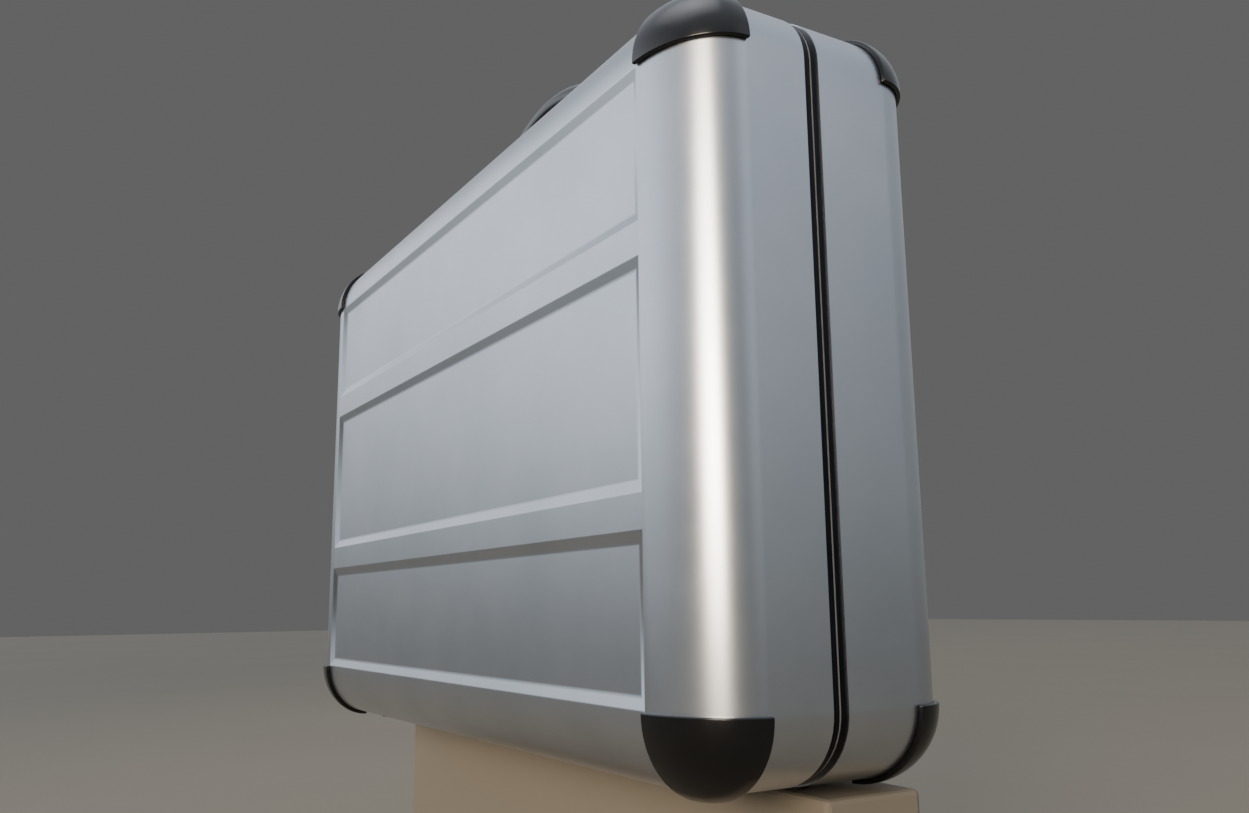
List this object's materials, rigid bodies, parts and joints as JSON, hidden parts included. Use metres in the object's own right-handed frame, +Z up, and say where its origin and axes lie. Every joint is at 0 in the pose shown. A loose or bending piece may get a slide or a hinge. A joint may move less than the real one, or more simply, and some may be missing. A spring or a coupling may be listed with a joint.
{
  "type": "attache case",
  "caption": "Hard aluminium attache case with a hinged lid, corner guards, a rubber-sealed parting band, a bowed carrying handle and combination latches.",
  "frame": {"origin": "middle of the footprint on the surface that the case stands on, under the feet of the hinge side", "axes": "+X along the width of the case, +Y from the lid's large face to the base's large face, +Z up from the hinge side to the handle side"},
  "size_m": [0.4744, 0.1244, 0.3675],
  "materials": {
    "shell_aluminium": "satin anodised",
    "black_frame": "black anodised extrusion",
    "guard_plastic": "moulded ABS, semi-gloss",
    "seal_rubber": "extruded rubber",
    "lining_fabric": "woven polyester lining",
    "grip_plastic": "moulded grip, gloss",
    "bright_plate": "satin nickel plate",
    "steel": "zinc-plated steel",
    "dial_metal": "nickel-plated brass"
  },
  "bodies": {
    "base": {"base_shell": "shell_aluminium", "base_frame": "black_frame", "gasket": "seal_rubber", "base_lining": "lining_fabric", "guard_base_top_left": "guard_plastic", "guard_base_top_right": "guard_plastic", "guard_base_bottom_left": "guard_plastic", "guard_base_bottom_right": "guard_plastic", "guard_screws_base": "steel", "hinge_leaf_base_left": "bright_plate", "hinge_leaf_base_right": "bright_plate", "hinge_pins": "steel", "base_rivets": "steel", "feet_base": "seal_rubber", "handle_bracket_left": "bright_plate", "handle_bracket_right": "bright_plate", "handle_pins": "steel", "bracket_screws": "steel", "latch_case_left": "bright_plate", "latch_case_right": "bright_plate", "hasp_pins": "steel", "dial_axles": "steel", "latch_screws": "steel", "stay_studs_base": "steel"},
    "lid": {"lid_shell": "shell_aluminium", "lid_frame": "black_frame", "lid_lining": "lining_fabric", "guard_lid_top_left": "guard_plastic", "guard_lid_top_right": "guard_plastic", "guard_lid_bottom_left": "guard_plastic", "guard_lid_bottom_right": "guard_plastic", "guard_screws_lid": "steel", "hinge_leaf_lid_left": "bright_plate", "hinge_leaf_lid_right": "bright_plate", "lid_rivets": "steel", "feet_lid": "seal_rubber", "catch_plate_left": "bright_plate", "catch_plate_right": "bright_plate", "stay_studs_lid": "steel", "document_pocket": "lining_fabric", "pen_loops": "lining_fabric"},
    "handle": {"handle_grip": "grip_plastic", "handle_tang_left": "steel", "handle_tang_right": "steel"},
    "hasp_left": {"latch_hasp_left": "bright_plate"},
    "button_left": {"latch_button_left": "bright_plate"},
    "dial_left_1": {"dial_left_1": "dial_metal"},
    "dial_left_2": {"dial_left_2": "dial_metal"},
    "dial_left_3": {"dial_left_3": "dial_metal"},
    "stay_base_left": {"stay_base_link_left": "steel"},
    "stay_lid_left": {"stay_lid_link_left": "steel", "stay_elbow_left": "steel"},
    "hasp_right": {"latch_hasp_right": "bright_plate"},
    "button_right": {"latch_button_right": "bright_plate"},
    "dial_right_1": {"dial_right_1": "dial_metal"},
    "dial_right_2": {"dial_right_2": "dial_metal"},
    "dial_right_3": {"dial_right_3": "dial_metal"},
    "stay_base_right": {"stay_base_link_right": "steel"},
    "stay_lid_right": {"stay_lid_link_right": "steel", "stay_elbow_right": "steel"}
  },
  "joints": [
    {"name": "lid_hinge", "type": "hinge", "parent": "base", "child": "lid", "pos_m": [0, 0, 0.0035], "axis": [1, 0, 0], "range_deg": [0, 95]},
    {"name": "handle_pivot", "type": "hinge", "parent": "base", "child": "handle", "pos_m": [0, 0.0115, 0.3175], "axis": [1, 0, 0], "range_deg": [-80, 80]},
    {"name": "hasp_left_flip", "type": "hinge", "parent": "base", "child": "hasp_left", "pos_m": [-0.143, 0.013, 0.3137], "axis": [-1, 0, 0], "range_deg": [0, 100]},
    {"name": "button_left_slide", "type": "slide", "parent": "base", "child": "button_left", "axis": [-1, 0, 0], "range_m": [0, 0.0048], "stiffness_N_per_m": 150, "springref_m": -0.002},
    {"name": "dial_left_1_turn", "type": "hinge", "parent": "base", "child": "dial_left_1", "pos_m": [-0.097, 0.0142, 0.3135], "axis": [1, 0, 0], "continuous": true},
    {"name": "dial_left_2_turn", "type": "hinge", "parent": "base", "child": "dial_left_2", "pos_m": [-0.1016, 0.0142, 0.3135], "axis": [1, 0, 0], "continuous": true},
    {"name": "dial_left_3_turn", "type": "hinge", "parent": "base", "child": "dial_left_3", "pos_m": [-0.1062, 0.0142, 0.3135], "axis": [1, 0, 0], "continuous": true},
    {"name": "stay_base_left_turn", "type": "hinge", "parent": "base", "child": "stay_base_left", "pos_m": [-0.2282, 0.007, 0.1035], "axis": [1, 0, 0], "range_deg": [0, 95]},
    {"name": "stay_lid_left_turn", "type": "hinge", "parent": "lid", "child": "stay_lid_left", "pos_m": [-0.2282, -0.007, 0.1035], "axis": [1, 0, 0], "range_deg": [-95, 0]},
    {"name": "hasp_right_flip", "type": "hinge", "parent": "base", "child": "hasp_right", "pos_m": [0.143, 0.013, 0.3137], "axis": [-1, 0, 0], "range_deg": [0, 100]},
    {"name": "button_right_slide", "type": "slide", "parent": "base", "child": "button_right", "axis": [1, 0, 0], "range_m": [0, 0.0048], "stiffness_N_per_m": 150, "springref_m": -0.002},
    {"name": "dial_right_1_turn", "type": "hinge", "parent": "base", "child": "dial_right_1", "pos_m": [0.097, 0.0142, 0.3135], "axis": [1, 0, 0], "continuous": true},
    {"name": "dial_right_2_turn", "type": "hinge", "parent": "base", "child": "dial_right_2", "pos_m": [0.1016, 0.0142, 0.3135], "axis": [1, 0, 0], "continuous": true},
    {"name": "dial_right_3_turn", "type": "hinge", "parent": "base", "child": "dial_right_3", "pos_m": [0.1062, 0.0142, 0.3135], "axis": [1, 0, 0], "continuous": true},
    {"name": "stay_base_right_turn", "type": "hinge", "parent": "base", "child": "stay_base_right", "pos_m": [0.2282, 0.007, 0.1035], "axis": [1, 0, 0], "range_deg": [0, 95]},
    {"name": "stay_lid_right_turn", "type": "hinge", "parent": "lid", "child": "stay_lid_right", "pos_m": [0.2282, -0.007, 0.1035], "axis": [1, 0, 0], "range_deg": [-95, 0]}
  ],
  "couplings": [
    {"joint": "stay_base_left_turn", "follows": "lid_hinge", "ratio": 1},
    {"joint": "stay_lid_left_turn", "follows": "lid_hinge", "ratio": -1},
    {"joint": "stay_base_right_turn", "follows": "lid_hinge", "ratio": 1},
    {"joint": "stay_lid_right_turn", "follows": "lid_hinge", "ratio": -1}
  ]
}
